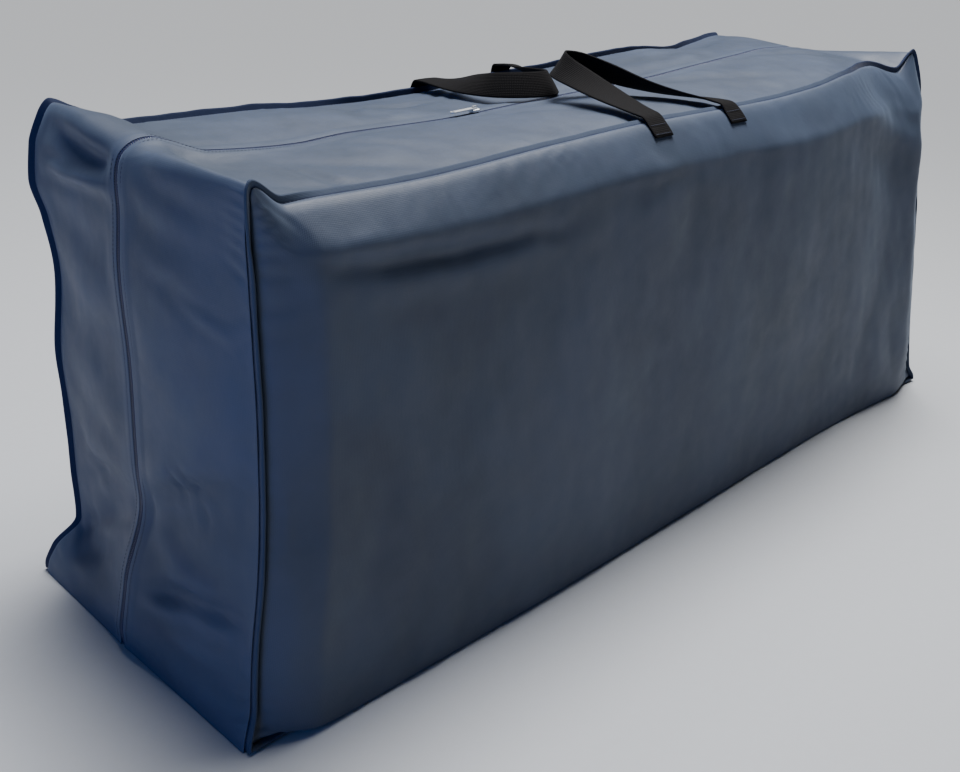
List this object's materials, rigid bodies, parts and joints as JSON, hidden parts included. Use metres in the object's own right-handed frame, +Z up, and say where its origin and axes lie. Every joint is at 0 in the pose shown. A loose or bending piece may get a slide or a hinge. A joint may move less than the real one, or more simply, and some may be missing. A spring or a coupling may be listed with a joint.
{
  "type": "cushion storage bag",
  "caption": "Long zipped cloth bag for garden seat cushions, filled out and standing, with bound seams and a webbing loop on each long side.",
  "frame": {"origin": "middle of the bounding box's footprint, on the floor that the bag stands on", "axes": "+X along the bag towards the end that leans in, -Y towards the panel that hangs further out at the foot, +Z up"},
  "size_m": [1.307, 0.4348, 0.5585],
  "materials": {
    "coated_cloth": "dark navy woven polyester with a soft sheen",
    "binding_tape": "matt woven tape",
    "webbing": "matt black webbing",
    "zip_coil": "dark nylon coil",
    "nickel": "nickel plate"
  },
  "bodies": {
    "root": {"front_panel": "coated_cloth", "rear_panel": "coated_cloth", "strip_front": "coated_cloth", "strip_rear": "coated_cloth", "base_panel": "coated_cloth", "binding_front": "binding_tape", "binding_rear": "binding_tape", "zip": "zip_coil", "zip_slider": "nickel", "zip_pull": "nickel", "handle_front": "webbing", "handle_rear": "webbing"}
  },
  "joints": []
}
